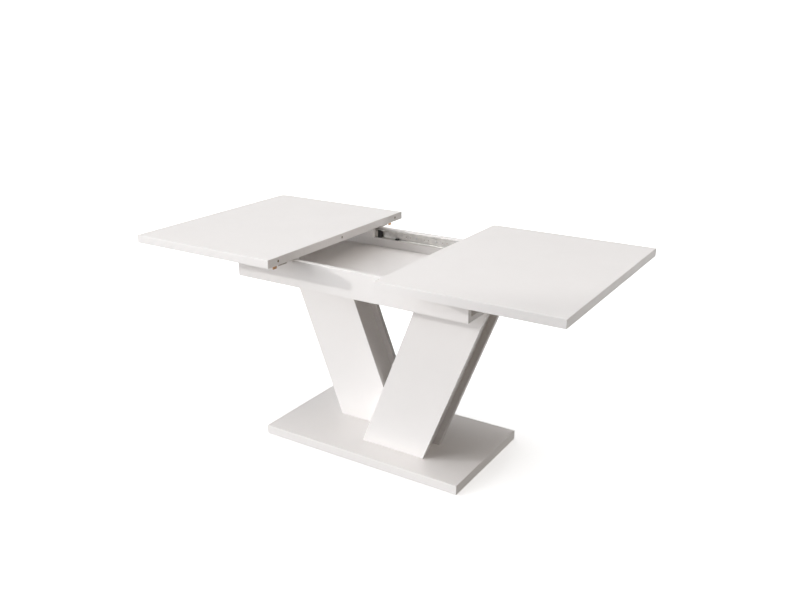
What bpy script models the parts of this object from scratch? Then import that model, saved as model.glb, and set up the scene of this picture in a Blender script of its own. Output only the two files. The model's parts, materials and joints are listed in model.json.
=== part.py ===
"""Extendable dining table: a two-piece top on a pedestal of two leaning box legs.

Frame: metres, +Z up, origin on the floor under the middle of the table, +X towards
the right half of the top, -Y towards the front.  The halves stand pulled apart, with
the room for the loose extension leaf open between them.  Each half runs on ball
slides inside an open-ended box, and two levers under the left half lock the joint.
"""
import math

import bmesh
import bpy
from mathutils import Matrix, Vector

# ---------------------------------------------------------------- driving dimensions
CLEARANCE = 0.0003              # between two pieces that touch
RUNNING = 0.0003                # around a pivot, between parts that turn on each other
OVERCUT = 0.010                 # how far a drill starts outside what it cuts

TABLE_HEIGHT = 0.750
TOP_THICKNESS = 0.028
TOP_WIDTH = 0.800
HALF_LENGTH = 0.600             # of each half, along X
LEAF_GAP = 0.400                # between the halves as they stand
TOP_EDGE_RADIUS = 0.0015
BOARD_EDGE_RADIUS = 0.0008

BOX_LENGTH = 0.900
BOX_WIDTH = 0.540
BOX_BOARD = 0.018
APRON_HEIGHT = 0.092
TOP_TO_APRON = 0.005            # the halves glide this far above the box

BASE_LENGTH = 0.800
BASE_WIDTH = 0.450
BASE_THICKNESS = 0.034
GLIDE_HEIGHT = 0.002
GLIDE_RADIUS = 0.016
GLIDE_INSET = 0.045

LEG_WIDTH = 0.250               # horizontal, of the slanted face
LEG_DEPTH = 0.132               # front to back
LEG_BOARD = 0.018
LEG_SIDE_RECESS = 0.026         # side boards stand this far in from the faces' edges
LEG_FOOT_PAST_MIDDLE = 0.033    # a leg's inner edge on the base, past the table's middle
BLOCK_HEIGHT = 0.040

BOLT_RADIUS = 0.004
BOLT_HEAD_RADIUS = 0.008
BOLT_HEAD_HEIGHT = 0.0025
BOLT_GRIP = 0.028               # length in the block
BOX_BOLT_INSET = 0.019          # top bolts, in from the walls around the head block
COUNTERBORE_DEPTH = 0.008

RAIL_HEIGHT = 0.035
RAIL_SHEET = 0.0012
RAIL_DROP = 0.0045              # rail's top edge below the apron's
RAIL_END_INSET = 0.001          # fixed rail's ends inside the apron's
FIXED_RAIL_DEPTH = 0.0120       # from the apron's inner face
RAIL_LIP = 0.0014
BALL_ROOM = 0.0026              # between nested flanges, for the balls
MIDDLE_WEB_AT = 0.0030          # from the apron's inner face
MIDDLE_FLANGE_TO = 0.0110
RUNNER_FLANGE_FROM = 0.0055
RUNNER_WEB_TO = 0.0124
MIDDLE_LENGTH = 0.400
MIDDLE_CLOSED_SETBACK = 0.031   # its inner end from the table's middle, when closed
RUNNER_LENGTH = 0.420
RUNNER_STAGGER = 0.010          # one runner of a wall stands ahead, its partner back
STOP_LENGTH = 0.0165
STOP_TO_LIP = 0.0004            # between the stop's plate and the fixed rail's lips
STOP_PLATE_FROM = 0.0114
FOOT_LENGTH = 0.0137
FOOT_FROM = 0.0045

CLEAT_THICKNESS = 0.018
CLEAT_HEIGHT = 0.040
CLEAT_INNER_INSET = 0.018       # from the half's inner edge
CLEAT_OUTER_INSET = 0.100       # from its outer edge

PIN_RADIUS = 0.004
PIN_PROUD = 0.009
PIN_SUNK = 0.020
PIN_INSET = 0.050               # outer pins, in from the front and back edges
SOCKET_DEPTH = 0.012
PIN_CHAMFER = 0.0012

LOCK_OUT = 0.010                # lever pivots, out from the middle of the halves' overhang
PIVOT_INSET = 0.030             # lever pivots, in from the left half's edge
STUD_INSET = 0.012              # catch studs, in from the right half's edge
LOCK_PLATE_THICKNESS = 0.0015
LOCK_PLATE_WIDTH = 0.020
LOCK_PLATE_FROM_BOX = 0.015     # plate's inner end, out from the box's side
LOCK_PLATE_OUT = 0.015          # plate's reach outwards from the pivot
LOCK_FLANGE_FROM = 0.017        # plate's bent edge: its near end, in from the pivot
LOCK_FLANGE_DROP = 0.011
CATCH_PLATE_INSET = 0.0035       # from the right half's edge
CATCH_PLATE_LENGTH = 0.040
CATCH_PLATE_WIDTH = 0.024
LEVER_THICKNESS = 0.002
LEVER_HALF_WIDTH = 0.0095
LEVER_TIP = 0.005               # metal past the notch
LEVER_TAIL = 0.010              # past the pivot, to the finger tab
TAB_DROP = 0.0135
TAB_THICKNESS = 0.002
STUD_RADIUS = 0.003
STUD_HEAD_RADIUS = 0.005
STUD_HEAD_THICKNESS = 0.0014
NOTCH_CLEARANCE = 0.0005        # around the stud in the lever's notch

ROUND_SIDES = 20
SMALL_SIDES = 12

# Fixed rail's openings each side of the middle: distance from the middle, width, height.
FIXED_RAIL_HOLES = ((0.009, 0.0030, 0.0050), (0.042, 0.0060, 0.0060), (0.069, 0.0025, 0.0085),
                    (0.087, 0.0035, 0.0100))
# Its openings near the ends: distance from the end, width, height.
FIXED_RAIL_END_HOLES = ((0.029, 0.0060, 0.0060), (0.129, 0.0035, 0.0100), (0.259, 0.0060, 0.0060))
# Middle rail's openings: distance from its inner end, width, height.
MIDDLE_RAIL_HOLES = ((0.006, 0.0030, 0.0110), (0.025, 0.0035, 0.0100), (0.050, 0.0095, 0.0095),
                     (0.200, 0.0060, 0.0060), (0.350, 0.0095, 0.0095))

# ---------------------------------------------------------------- derived places
TOP_UNDERSIDE = TABLE_HEIGHT - TOP_THICKNESS
APRON_TOP = TOP_UNDERSIDE - TOP_TO_APRON
APRON_BOTTOM = APRON_TOP - APRON_HEIGHT
BOX_FLOOR_TOP = APRON_BOTTOM + BOX_BOARD
BOX_INNER = BOX_WIDTH / 2 - BOX_BOARD
BASE_TOP = GLIDE_HEIGHT + BASE_THICKNESS
LEG_LOW = BASE_TOP + CLEARANCE
LEG_HIGH = APRON_BOTTOM - CLEARANCE
LEG_FOOT_REACH = LEG_WIDTH - LEG_FOOT_PAST_MIDDLE
LEG_LEAN = (BOX_LENGTH / 2 - LEG_FOOT_REACH) / (APRON_BOTTOM - BASE_TOP)
LEG_BOARD_ACROSS = LEG_BOARD * math.hypot(1.0, LEG_LEAN)
RAIL_MIDDLE = APRON_TOP - RAIL_DROP - RAIL_HEIGHT / 2
FIXED_HALF = RAIL_HEIGHT / 2
MIDDLE_HALF = FIXED_HALF - RAIL_SHEET - BALL_ROOM
RUNNER_HALF = MIDDLE_HALF - RAIL_SHEET - BALL_ROOM
MIDDLE_SETBACK = MIDDLE_CLOSED_SETBACK + LEAF_GAP / 4
FOOT_TO = FIXED_RAIL_DEPTH - RAIL_SHEET - CLEARANCE
STOP_PLATE_HALF = FIXED_HALF - RAIL_SHEET - RAIL_LIP - STOP_TO_LIP
CLEAT_FACE = BOX_INNER - RUNNER_WEB_TO - CLEARANCE
GAP_EDGE = LEAF_GAP / 2
PIN_LEVEL = TABLE_HEIGHT - TOP_THICKNESS / 2
PIN_SPREAD = TOP_WIDTH / 2 - PIN_INSET
LOCK_REACH = (TOP_WIDTH + BOX_WIDTH) / 4 + LOCK_OUT
LOCK_PLATE_INNER = BOX_WIDTH / 2 + LOCK_PLATE_FROM_BOX
PIVOT_X = -(GAP_EDGE + PIVOT_INSET)
STUD_X = GAP_EDGE + STUD_INSET
HOOK_RADIUS = PIVOT_INSET + STUD_INSET + 2 * CLEARANCE
PLATE_BOTTOM = TOP_UNDERSIDE - CLEARANCE - LOCK_PLATE_THICKNESS
LEVER_TOP = PLATE_BOTTOM - RUNNING
LEVER_BOTTOM = LEVER_TOP - LEVER_THICKNESS
HEAD_TOP = LEVER_BOTTOM - RUNNING

SIDES = (("left", -1), ("right", 1))
WALLS = (("front", -1), ("back", 1))


# ---------------------------------------------------------------- shape helpers
def finish(name, mesh, material, origin):
    """Link a mesh as an object that stands at origin."""
    thing = bpy.data.objects.new(name, mesh)
    thing.location = origin
    bpy.context.scene.collection.objects.link(thing)
    if material is not None:
        mesh.materials.append(material)
    return thing


def prism(name, outline, low, high, turn, material, origin=(0.0, 0.0, 0.0)):
    """Extrude a closed outline from low to high; turn maps (a, b, t) to x, y, z."""
    shape = bmesh.new()
    rings = [[shape.verts.new(turn(a, b, t)) for a, b in outline] for t in (low, high)]
    count = len(outline)
    for i in range(count):
        j = (i + 1) % count
        shape.faces.new((rings[0][i], rings[0][j], rings[1][j], rings[1][i]))
    for ring in rings:
        shape.faces.new(ring)
    bmesh.ops.recalc_face_normals(shape, faces=shape.faces)
    mesh = bpy.data.meshes.new(name)
    shape.to_mesh(mesh)
    shape.free()
    return finish(name, mesh, material, origin)


def along_x(a, b, t):
    return (t, a, b)


def along_y(a, b, t):
    return (a, t, b)


def along_z(a, b, t):
    return (a, b, t)


def rectangle(a_low, a_high, b_low, b_high):
    return [(a_low, b_low), (a_high, b_low), (a_high, b_high), (a_low, b_high)]


def circle(radius, sides):
    steps = (2 * math.pi * i / sides for i in range(sides))
    return [(radius * math.cos(t), radius * math.sin(t)) for t in steps]


def ease_edges(thing, radius):
    """Round every edge a little, as an edge band is."""
    bevel = thing.modifiers.new("Eased edges", "BEVEL")
    bevel.width = radius
    bevel.segments = 2
    return thing


def board(name, low, high, material, radius=BOARD_EDGE_RADIUS):
    """A flat board between two corners, with eased edges."""
    middle = [(a + b) / 2 for a, b in zip(low, high)]
    half = [abs(b - a) / 2 for a, b in zip(low, high)]
    outline = rectangle(-half[0], half[0], -half[1], half[1])
    thing = prism(name, outline, -half[2], half[2], along_z, material, middle)
    return ease_edges(thing, radius)


def turned(name, profile, turn, material, origin, sides=ROUND_SIDES):
    """A solid of revolution; profile lists (radius, place along the axis)."""
    shape = bmesh.new()
    rings = []
    for radius, t in profile:
        rings.append([shape.verts.new(turn(a, b, t)) for a, b in circle(radius, sides)])
    for lower, upper in zip(rings, rings[1:]):
        for i in range(sides):
            j = (i + 1) % sides
            shape.faces.new((lower[i], lower[j], upper[j], upper[i]))
    shape.faces.new(rings[0])
    shape.faces.new(rings[-1])
    bmesh.ops.recalc_face_normals(shape, faces=shape.faces)
    mesh = bpy.data.meshes.new(name)
    shape.to_mesh(mesh)
    shape.free()
    mesh.shade_smooth()
    mesh.set_sharp_from_angle(angle=math.radians(35))
    return finish(name, mesh, material, origin)


def combine(thing, tool, operation):
    """Cut a tool out of a piece, or join it on, and hide the tool."""
    boolean = thing.modifiers.new(operation.title(), "BOOLEAN")
    boolean.operation = operation
    boolean.solver = "EXACT"
    boolean.object = tool
    tool.hide_render = True
    tool.display_type = "WIRE"


def bore(thing, radius, low, high, turn, origin, sides=SMALL_SIDES):
    """Drill a round hole from low to high along the axis that turn gives."""
    tool = prism(thing.name + "_drill", circle(radius, sides), low, high, turn, None, origin)
    combine(thing, tool, "DIFFERENCE")


def paint(name, colour, roughness, metallic=0.0):
    material = bpy.data.materials.new(name)
    material.use_nodes = True
    shader = material.node_tree.nodes["Principled BSDF"]
    shader.inputs["Base Color"].default_value = (*colour, 1.0)
    shader.inputs["Roughness"].default_value = roughness
    shader.inputs["Metallic"].default_value = metallic
    return material


def joint_empty(name, place, pieces):
    """Hang pieces on an empty that stands on their joint's axis."""
    empty = bpy.data.objects.new(name, None)
    empty.location = place
    bpy.context.scene.collection.objects.link(empty)
    for piece in pieces:
        piece.parent = empty
        piece.matrix_parent_inverse = Matrix.Translation(-Vector(place))


# ---------------------------------------------------------------- pedestal
def base(white, plastic):
    plate = board("base_plate", (-BASE_LENGTH / 2, -BASE_WIDTH / 2, GLIDE_HEIGHT),
                  (BASE_LENGTH / 2, BASE_WIDTH / 2, BASE_TOP), white, TOP_EDGE_RADIUS)
    for side_name, side in SIDES:
        for wall_name, wall in WALLS:
            place = (side * (BASE_LENGTH / 2 - GLIDE_INSET), wall * (BASE_WIDTH / 2 - GLIDE_INSET), 0)
            turned(f"base_glide_{wall_name}_{side_name}",
                   [(GLIDE_RADIUS, 0), (GLIDE_RADIUS, GLIDE_HEIGHT - CLEARANCE)],
                   along_z, plastic, place)
    return plate


def leg_edge(level):
    """Outer edge of the right leg at a level, along X."""
    return LEG_FOOT_REACH + LEG_LEAN * (level - BASE_TOP)


def leg_middle(level):
    return leg_edge(level) - LEG_WIDTH / 2


def leg_slab(name, inset, far, y_low, y_high, low, high, side, material):
    """A slanted slab from inset to far, measured in from the leg's outer edge."""
    corners = ((low, far), (low, inset), (high, inset), (high, far))
    outline = [(side * (leg_edge(z) - reach), z) for z, reach in corners]
    return prism(name, outline, side * y_low, side * y_high, along_y, material)


def leg(side_name, side, plate, floor, white, raw, steel):
    """One leg: two slanted faces, two recessed sides, two blocks and their bolts.

    The left leg is the right one turned half a turn about Z."""
    y_back = -CLEARANCE
    y_front = -LEG_DEPTH
    names = ("front", "back") if side > 0 else ("back", "front")
    faces = ((names[0], y_front, y_front + LEG_BOARD), (names[1], y_back - LEG_BOARD, y_back))
    for face_name, low, high in faces:
        face = leg_slab(f"leg_{side_name}_{face_name}_panel", 0.0, LEG_WIDTH, low, high,
                        LEG_LOW, LEG_HIGH, side, white)
        ease_edges(face, BOARD_EDGE_RADIUS)
    inner = (y_front + LEG_BOARD + CLEARANCE, y_back - LEG_BOARD - CLEARANCE)
    side_far = LEG_SIDE_RECESS + LEG_BOARD_ACROSS
    for part, inset, far in (("outer", LEG_SIDE_RECESS, side_far),
                             ("inner", LEG_WIDTH - side_far, LEG_WIDTH - LEG_SIDE_RECESS)):
        leg_slab(f"leg_{side_name}_{part}_side", inset, far, *inner, LEG_LOW, LEG_HIGH, side, white)
    hollow = (side_far + CLEARANCE, LEG_WIDTH - side_far - CLEARANCE)
    foot_block = leg_slab(f"leg_{side_name}_foot_block", *hollow, *inner,
                          LEG_LOW, LEG_LOW + BLOCK_HEIGHT, side, raw)
    head_block = leg_slab(f"leg_{side_name}_head_block", *hollow, *inner,
                          LEG_HIGH - BLOCK_HEIGHT, LEG_HIGH, side, raw)
    y_middle = side * (y_front + y_back) / 2
    hole = BOLT_RADIUS + CLEARANCE

    seat = GLIDE_HEIGHT + COUNTERBORE_DEPTH
    place = (side * leg_middle(LEG_LOW + BLOCK_HEIGHT / 2), y_middle, 0)
    tip = LEG_LOW + BOLT_GRIP
    turned(f"foot_bolt_{side_name}",
           [(BOLT_HEAD_RADIUS, seat - CLEARANCE - BOLT_HEAD_HEIGHT), (BOLT_HEAD_RADIUS, seat - CLEARANCE),
            (BOLT_RADIUS, seat - CLEARANCE), (BOLT_RADIUS, tip)], along_z, steel, place)
    bore(plate, BOLT_HEAD_RADIUS + 2 * CLEARANCE, GLIDE_HEIGHT - OVERCUT, seat, along_z, place, ROUND_SIDES)
    bore(plate, hole, GLIDE_HEIGHT - OVERCUT, BASE_TOP + OVERCUT, along_z, place, ROUND_SIDES)
    bore(foot_block, hole, LEG_LOW - OVERCUT, tip + CLEARANCE, along_z, place, ROUND_SIDES)

    bolt_x = leg_edge(LEG_HIGH - BLOCK_HEIGHT / 2) - side_far - BOX_BOLT_INSET
    bolt_spread = (inner[1] - inner[0]) / 2 - BOX_BOLT_INSET
    for bolt_name, wall in WALLS:
        place = (side * bolt_x, y_middle + wall * bolt_spread, 0)
        top = BOX_FLOOR_TOP + CLEARANCE
        tip = LEG_HIGH - BOLT_GRIP
        turned(f"box_bolt_{side_name}_{bolt_name}",
               [(BOLT_RADIUS, tip), (BOLT_RADIUS, top), (BOLT_HEAD_RADIUS, top),
                (BOLT_HEAD_RADIUS, top + BOLT_HEAD_HEIGHT)], along_z, steel, place)
        bore(floor, hole, APRON_BOTTOM - OVERCUT, BOX_FLOOR_TOP + OVERCUT, along_z, place, ROUND_SIDES)
        bore(head_block, hole, tip - CLEARANCE, LEG_HIGH + OVERCUT, along_z, place, ROUND_SIDES)


# ---------------------------------------------------------------- box under the top
def box_floor(white):
    half_width = BOX_INNER - CLEARANCE
    return board("box_floor", (-BOX_LENGTH / 2, -half_width, APRON_BOTTOM),
                 (BOX_LENGTH / 2, half_width, BOX_FLOOR_TOP), white)


def apron(wall_name, wall, white):
    board(f"{wall_name}_apron", (-BOX_LENGTH / 2, wall * BOX_INNER, APRON_BOTTOM),
          (BOX_LENGTH / 2, wall * BOX_WIDTH / 2, APRON_TOP), white)


def rail(name, section, low, high, wall, material):
    """A rolled rail; section lists (distance from the apron's face, height)."""
    outline = [(wall * (BOX_INNER - depth), RAIL_MIDDLE + height) for depth, height in section]
    return prism(name, outline, low, high, along_x, material)


def channel(web_at, flange_to, half):
    """A plain C section: its web stands at web_at, its flanges reach flange_to."""
    web_inner = web_at + math.copysign(RAIL_SHEET, flange_to - web_at)
    return [(web_at, -half), (flange_to, -half), (flange_to, -half + RAIL_SHEET),
            (web_inner, -half + RAIL_SHEET), (web_inner, half - RAIL_SHEET),
            (flange_to, half - RAIL_SHEET), (flange_to, half), (web_at, half)]


def lipped_channel():
    """The fixed rail's C section, with its edges turned in over the balls."""
    web, out, half = CLEARANCE, FIXED_RAIL_DEPTH, FIXED_HALF
    lower = [(web, -half), (out, -half), (out, -half + RAIL_SHEET + RAIL_LIP),
             (out - RAIL_SHEET, -half + RAIL_SHEET + RAIL_LIP), (out - RAIL_SHEET, -half + RAIL_SHEET),
             (web + RAIL_SHEET, -half + RAIL_SHEET)]
    return lower + [(depth, -height) for depth, height in reversed(lower)]


def punch(thing, holes, wall):
    """Punch slots and round holes through a rail's web; holes lists x, width, height."""
    for number, (x, width, height) in enumerate(holes):
        radius = width / 2
        straight = (height - width) / 2
        arc = [math.pi * i / (SMALL_SIDES // 2) for i in range(SMALL_SIDES // 2 + 1)]
        outline = [(radius * math.cos(t), straight + radius * math.sin(t)) for t in arc]
        if straight > 0:
            outline += [(-a, -b) for a, b in outline]
        else:
            outline = circle(radius, SMALL_SIDES)
        near = wall * (BOX_INNER + CLEARANCE)
        far = wall * (BOX_INNER - MIDDLE_WEB_AT - 2 * RAIL_SHEET)
        tool = prism(f"{thing.name}_punch_{number}", outline, min(near, far), max(near, far),
                     along_y, None, (x, 0, RAIL_MIDDLE))
        combine(thing, tool, "DIFFERENCE")


def fixed_rail(wall_name, wall, zinc):
    reach = BOX_LENGTH / 2 - RAIL_END_INSET
    thing = rail(f"{wall_name}_fixed_rail", lipped_channel(), -reach, reach, wall, zinc)
    holes = list(FIXED_RAIL_HOLES)
    holes += [(reach - x, width, height) for x, width, height in FIXED_RAIL_END_HOLES]
    punch(thing, [(side * x, width, height) for x, width, height in holes for _, side in SIDES], wall)


def middle_rail(side_name, side, wall_name, wall, zinc, plastic):
    """The rail that travels half as far as the top, with the plastic foot on its end."""
    label = f"{side_name}_{wall_name}"
    inner_end = side * MIDDLE_SETBACK
    outer_end = side * (MIDDLE_SETBACK + MIDDLE_LENGTH)
    section = channel(MIDDLE_WEB_AT, MIDDLE_FLANGE_TO, MIDDLE_HALF)
    thing = rail(f"{label}_middle_rail", section, min(inner_end, outer_end),
                 max(inner_end, outer_end), wall, zinc)
    punch(thing, [(inner_end + side * x, width, height) for x, width, height in MIDDLE_RAIL_HOLES], wall)

    foot_low = -(FIXED_HALF - RAIL_SHEET - 2 * CLEARANCE)
    foot_high = -(RUNNER_HALF + CLEARANCE)
    near = side * (MIDDLE_SETBACK - CLEARANCE)
    far = near - side * FOOT_LENGTH
    foot = rail(f"{label}_rail_foot", rectangle(FOOT_FROM, FOOT_TO, foot_low, foot_high),
                min(near, far), max(near, far), wall, plastic)
    place = (inner_end, wall * BOX_INNER, RAIL_MIDDLE)
    joint_empty(f"{label}_middle_rail_joint", place, (thing, foot))


# ---------------------------------------------------------------- sliding halves
def runner_end(side, wall):
    """Inner end of a runner's stop: ahead of the top's edge on one wall, back on the other."""
    ahead = RUNNER_STAGGER if side * wall < 0 else -(RUNNER_STAGGER + CLEARANCE)
    return GAP_EDGE - ahead


def runner(side_name, side, wall_name, wall, zinc, plastic):
    """The rail screwed to a half's cleat, with the black stop in its inner end."""
    label = f"{side_name}_{wall_name}"
    stop_end = runner_end(side, wall)
    start = stop_end + STOP_LENGTH + CLEARANCE
    ends = sorted((side * start, side * (start + RUNNER_LENGTH)))
    section = channel(RUNNER_WEB_TO, RUNNER_FLANGE_FROM, RUNNER_HALF)
    thing = rail(f"{label}_runner", section, *ends, wall, zinc)

    plug = RUNNER_HALF
    plate = STOP_PLATE_HALF
    section = [(RUNNER_FLANGE_FROM, -plug), (STOP_PLATE_FROM, -plug), (STOP_PLATE_FROM, -plate),
               (RUNNER_WEB_TO, -plate), (RUNNER_WEB_TO, plate), (STOP_PLATE_FROM, plate),
               (STOP_PLATE_FROM, plug), (RUNNER_FLANGE_FROM, plug)]
    ends = sorted((side * stop_end, side * (stop_end + STOP_LENGTH)))
    stop = rail(f"{label}_runner_stop", section, *ends, wall, plastic)
    return thing, stop


def cleat(side_name, side, wall_name, wall, white):
    near = side * (GAP_EDGE + CLEAT_INNER_INSET)
    far = side * (GAP_EDGE + HALF_LENGTH - CLEAT_OUTER_INSET)
    high = TOP_UNDERSIDE - CLEARANCE
    return board(f"{side_name}_{wall_name}_cleat", (near, wall * (CLEAT_FACE - CLEAT_THICKNESS),
                                                    high - CLEAT_HEIGHT),
                 (far, wall * CLEAT_FACE, high), white)


def pin_places():
    return (("front", -PIN_SPREAD), ("middle", 0.0), ("back", PIN_SPREAD))


def half_top(side_name, side, white):
    """One half of the top, drilled along its inner edge for the alignment pins."""
    edge = side * GAP_EDGE
    outer = side * (GAP_EDGE + HALF_LENGTH)
    top = board(f"{side_name}_top", (edge, -TOP_WIDTH / 2, TOP_UNDERSIDE),
                (outer, TOP_WIDTH / 2, TABLE_HEIGHT), white, TOP_EDGE_RADIUS)
    depth = SOCKET_DEPTH if side < 0 else PIN_SUNK + CLEARANCE
    ends = sorted((-side * OVERCUT, side * depth))
    for _, y in pin_places():
        bore(top, PIN_RADIUS + CLEARANCE, *ends, along_x, (edge, y, PIN_LEVEL))
    return top


def alignment_pins(beech):
    """Three dowels in the right half's edge that find the left half or the leaf."""
    pins = []
    for name, y in pin_places():
        profile = [(PIN_RADIUS - PIN_CHAMFER, -PIN_PROUD), (PIN_RADIUS, PIN_CHAMFER - PIN_PROUD),
                   (PIN_RADIUS, PIN_SUNK - PIN_CHAMFER), (PIN_RADIUS - PIN_CHAMFER, PIN_SUNK)]
        pins.append(turned(f"alignment_pin_{name}", profile, along_x, beech,
                           (GAP_EDGE, y, PIN_LEVEL), SMALL_SIDES))
    return pins


# ---------------------------------------------------------------- locks under the top
def headed_stud(name, place):
    """Tool shape joined under a plate: a stud with a wider head below the lever."""
    head_low = HEAD_TOP - STUD_HEAD_THICKNESS
    profile = [(STUD_HEAD_RADIUS, head_low), (STUD_HEAD_RADIUS, HEAD_TOP), (STUD_RADIUS, HEAD_TOP),
               (STUD_RADIUS, PLATE_BOTTOM + LOCK_PLATE_THICKNESS / 2)]
    return turned(name, profile, along_z, None, place, SMALL_SIDES)


def lock_plate(wall_name, wall, zinc):
    """The plate that carries a lever's pivot under the left half, its inner part's edge bent down."""
    half = LOCK_PLATE_WIDTH / 2
    ends = sorted((wall * LOCK_PLATE_INNER, wall * (LOCK_REACH + LOCK_PLATE_OUT)))
    plate = prism(f"{wall_name}_lock_plate", rectangle(-half, half, *ends), PLATE_BOTTOM,
                  PLATE_BOTTOM + LOCK_PLATE_THICKNESS, along_z, zinc, (PIVOT_X, 0, 0))
    ends = sorted((wall * LOCK_PLATE_INNER, wall * (LOCK_REACH - LOCK_FLANGE_FROM)))
    flange = prism(f"{wall_name}_lock_flange", rectangle(half - LOCK_PLATE_THICKNESS, half, *ends),
                   PLATE_BOTTOM - LOCK_FLANGE_DROP, PLATE_BOTTOM + LOCK_PLATE_THICKNESS / 2, along_z,
                   None, (PIVOT_X, 0, 0))
    combine(plate, flange, "UNION")
    stud = headed_stud(f"{wall_name}_lock_pivot", (PIVOT_X, wall * LOCK_REACH, 0))
    combine(plate, stud, "UNION")
    return plate


def lock_catch(wall_name, wall, zinc):
    """The plate with the headed stud that the lever hooks on, under the right half."""
    low = GAP_EDGE + CATCH_PLATE_INSET
    half = CATCH_PLATE_WIDTH / 2
    plate = prism(f"{wall_name}_lock_catch", rectangle(low, low + CATCH_PLATE_LENGTH, -half, half),
                  PLATE_BOTTOM, PLATE_BOTTOM + LOCK_PLATE_THICKNESS, along_z, zinc,
                  (0, wall * LOCK_REACH, 0))
    stud = headed_stud(f"{wall_name}_catch_stud", (STUD_X, wall * LOCK_REACH, 0))
    combine(plate, stud, "UNION")
    return plate


def lever_outline():
    """Lever seen from above: along the arm from the pivot, and towards the notch."""
    wide = LEVER_HALF_WIDTH
    room = STUD_RADIUS + NOTCH_CLEARANCE
    outer, inner = HOOK_RADIUS + room, HOOK_RADIUS - room
    steps = 4
    mouth = [math.asin(wide / outer) * (1 - i / steps) for i in range(steps)]
    throat = [-math.pi * i / (2 * steps) for i in range(2 * steps + 1)]
    back = [math.asin(wide / inner) * (i + 1) / steps for i in range(steps)]
    points = [(-LEVER_TAIL, -wide), (outer + LEVER_TIP, -wide), (outer + LEVER_TIP, wide)]
    points += [(outer * math.cos(t), outer * math.sin(t)) for t in mouth]
    points += [(HOOK_RADIUS + room * math.cos(t), room * math.sin(t)) for t in throat]
    points += [(inner * math.cos(t), inner * math.sin(t)) for t in back]
    return points + [(-LEVER_TAIL, wide)]


def lock_lever(wall_name, wall, gold):
    """The flat hook that swings out from under the left half, with its finger tab.

    It lies folded back along the table, its tab towards the gap, and turns half round outwards."""
    place = (PIVOT_X, wall * LOCK_REACH, 0)
    outline = [(-along, wall * across) for along, across in lever_outline()]
    lever = prism(f"{wall_name}_lock_lever", outline, LEVER_BOTTOM, LEVER_TOP, along_z, gold, place)
    tab_outline = rectangle(LEVER_TAIL - TAB_THICKNESS, LEVER_TAIL, -LEVER_HALF_WIDTH, LEVER_HALF_WIDTH)
    tab = prism(f"{wall_name}_lever_tab", tab_outline, LEVER_BOTTOM - TAB_DROP,
                LEVER_BOTTOM + LEVER_THICKNESS / 2, along_z, None, place)
    combine(lever, tab, "UNION")
    bore(lever, STUD_RADIUS + RUNNING, LEVER_BOTTOM - OVERCUT, LEVER_TOP + OVERCUT, along_z, place)
    joint_empty(f"{wall_name}_lock_joint", place, (lever,))


# ---------------------------------------------------------------- assembly
def main():
    for thing in list(bpy.data.objects):
        bpy.data.objects.remove(thing)

    white = paint("white_laminate", (0.83, 0.82, 0.80), 0.38)
    raw = paint("raw_board", (0.55, 0.42, 0.28), 0.80)
    zinc = paint("zinc_steel", (0.62, 0.61, 0.59), 0.32, 1.0)
    gold = paint("yellow_zinc", (0.62, 0.36, 0.13), 0.30, 1.0)
    steel = paint("bright_bolt", (0.55, 0.55, 0.56), 0.35, 1.0)
    plastic = paint("black_plastic", (0.02, 0.02, 0.02), 0.45)
    felt = paint("grey_glide", (0.30, 0.30, 0.30), 0.60)
    beech = paint("beech_dowel", (0.62, 0.44, 0.27), 0.65)

    plate = base(white, felt)
    floor = box_floor(white)
    for side_name, side in SIDES:
        leg(side_name, side, plate, floor, white, raw, steel)
    for wall_name, wall in WALLS:
        apron(wall_name, wall, white)
        fixed_rail(wall_name, wall, zinc)

    for side_name, side in SIDES:
        pieces = [half_top(side_name, side, white)]
        for wall_name, wall in WALLS:
            middle_rail(side_name, side, wall_name, wall, zinc, plastic)
            pieces += runner(side_name, side, wall_name, wall, zinc, plastic)
            pieces.append(cleat(side_name, side, wall_name, wall, white))
            pieces.append(lock_plate(wall_name, wall, zinc) if side < 0
                          else lock_catch(wall_name, wall, zinc))
        if side > 0:
            pieces += alignment_pins(beech)
        joint_empty(f"{side_name}_top_joint", (side * GAP_EDGE, 0, TOP_UNDERSIDE), pieces)
    for wall_name, wall in WALLS:
        lock_lever(wall_name, wall, gold)


main()
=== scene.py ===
"""Looks of the extendable dining table: boards with edge bands, ball slides, locks, light and camera.

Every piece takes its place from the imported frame, in metres, +X to the right and -Y to the front.
"""
import json
import math

import bmesh
import bpy
from mathutils import Matrix, Vector

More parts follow.
